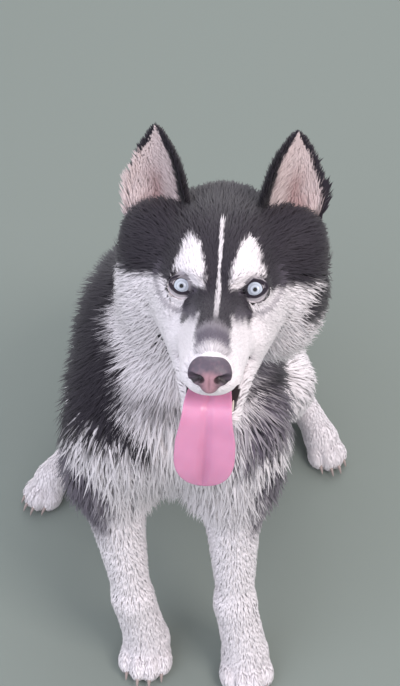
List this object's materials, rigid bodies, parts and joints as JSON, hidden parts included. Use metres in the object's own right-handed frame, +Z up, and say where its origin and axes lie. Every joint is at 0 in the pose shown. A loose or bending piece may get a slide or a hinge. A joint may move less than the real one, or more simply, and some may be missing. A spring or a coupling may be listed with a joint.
{
  "type": "siberian husky",
  "caption": "Life-size still model of a sitting Siberian husky that looks up with its mouth open and its tongue out.",
  "frame": {"origin": "on the floor, under the middle of the dog's box", "axes": "+X to the dog's left, +Y from its nose to its tail, +Z up"},
  "size_m": [0.455, 0.9296, 0.7394],
  "materials": {
    "coat_black": "matt dark guard hair",
    "coat_white": "matt white hair",
    "nose_leather": "damp, finely pebbled skin",
    "tongue": "wet, smooth",
    "eye": "wet gloss",
    "collar_webbing": "plain woven webbing",
    "collar_steel": "plain steel"
  },
  "bodies": {
    "root": {"eye_left": "eye", "eye_right": "eye", "tongue": "tongue", "jaw": "coat_white", "nose": "nose_leather", "ear_left": "coat_black", "ear_right": "coat_black", "head": "coat_black", "collar": "collar_webbing", "collar_ring": "collar_steel", "neck": "coat_black", "chest": "coat_black", "rump": "coat_black", "thigh_left": "coat_black", "thigh_right": "coat_black", "foreleg_left": "coat_white", "foreleg_right": "coat_white", "shank_left": "coat_white", "shank_right": "coat_white", "forepaw_left": "coat_white", "forepaw_right": "coat_white", "hindpaw_left": "coat_white", "hindpaw_right": "coat_white", "tail": "coat_black"}
  },
  "joints": []
}
